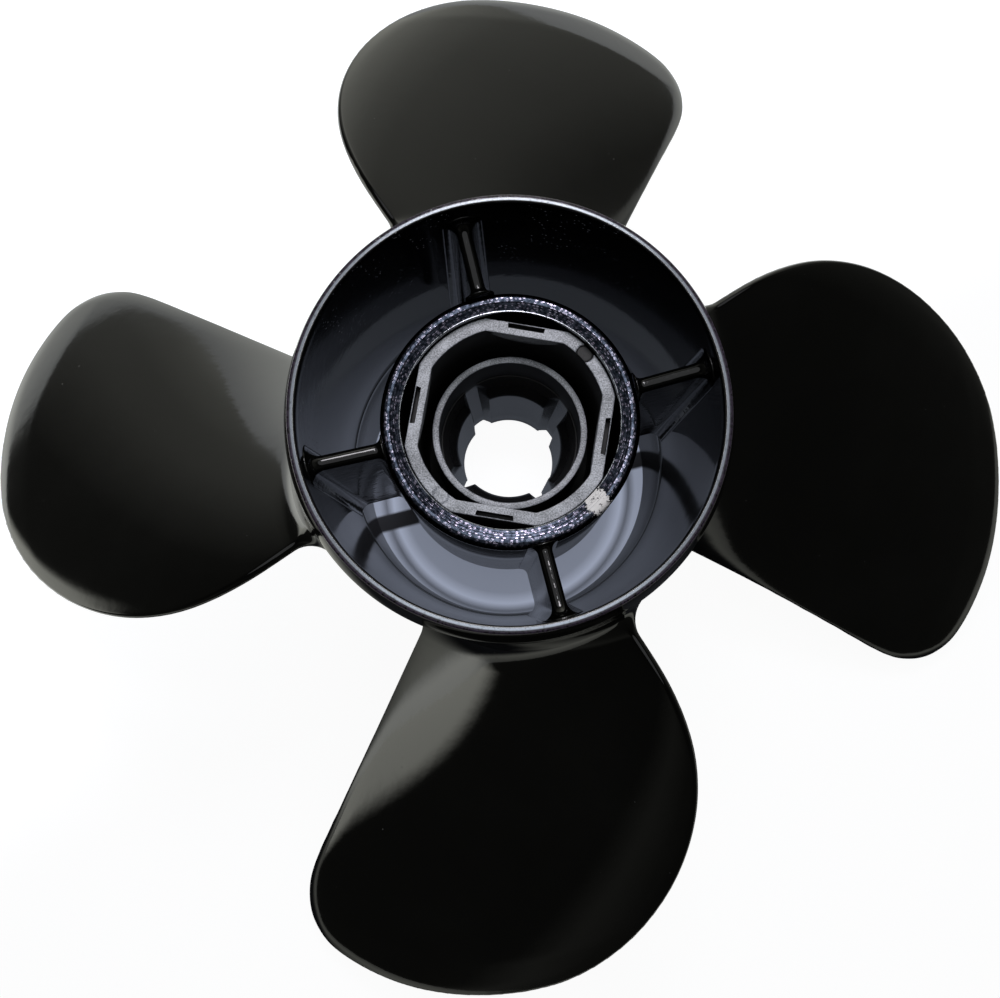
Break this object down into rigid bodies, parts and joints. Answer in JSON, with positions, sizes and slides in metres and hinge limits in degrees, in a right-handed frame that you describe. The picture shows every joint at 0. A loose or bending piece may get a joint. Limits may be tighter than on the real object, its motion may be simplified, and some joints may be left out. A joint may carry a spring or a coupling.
{
  "type": "boat propeller",
  "caption": "Right-handed bladed boat propeller with exhaust passages through its hub, a machined hub face and a moulded drive insert",
  "frame": {"origin": "on the shaft axis, in the plane of the barrel's rear rim, which the propeller rests on", "axes": "+Z along the shaft axis, forward to the bow; seen from the front, +X is right and +Y is up in the picture"},
  "size_m": [0.3562, 0.3562, 0.145],
  "materials": {
    "black_paint": "gloss black paint on an aluminium casting",
    "machined_face": "turned bare face",
    "insert_moulding": "moulded, fine grain",
    "tube_moulding": "moulded, smooth"
  },
  "bodies": {
    "root": {"barrel": "black_paint", "rear_ring": "black_paint", "hub_face": "machined_face", "inner_hub": "black_paint", "rib_1": "black_paint", "rib_2": "black_paint", "rib_3": "black_paint", "rib_4": "black_paint", "blade_1": "black_paint", "blade_2": "black_paint", "blade_3": "black_paint", "blade_4": "black_paint", "insert_frame": "insert_moulding", "drive_tube": "insert_moulding", "bore_land_1": "tube_moulding", "bore_land_2": "tube_moulding", "bore_land_3": "tube_moulding", "bore_land_4": "tube_moulding"}
  },
  "joints": []
}
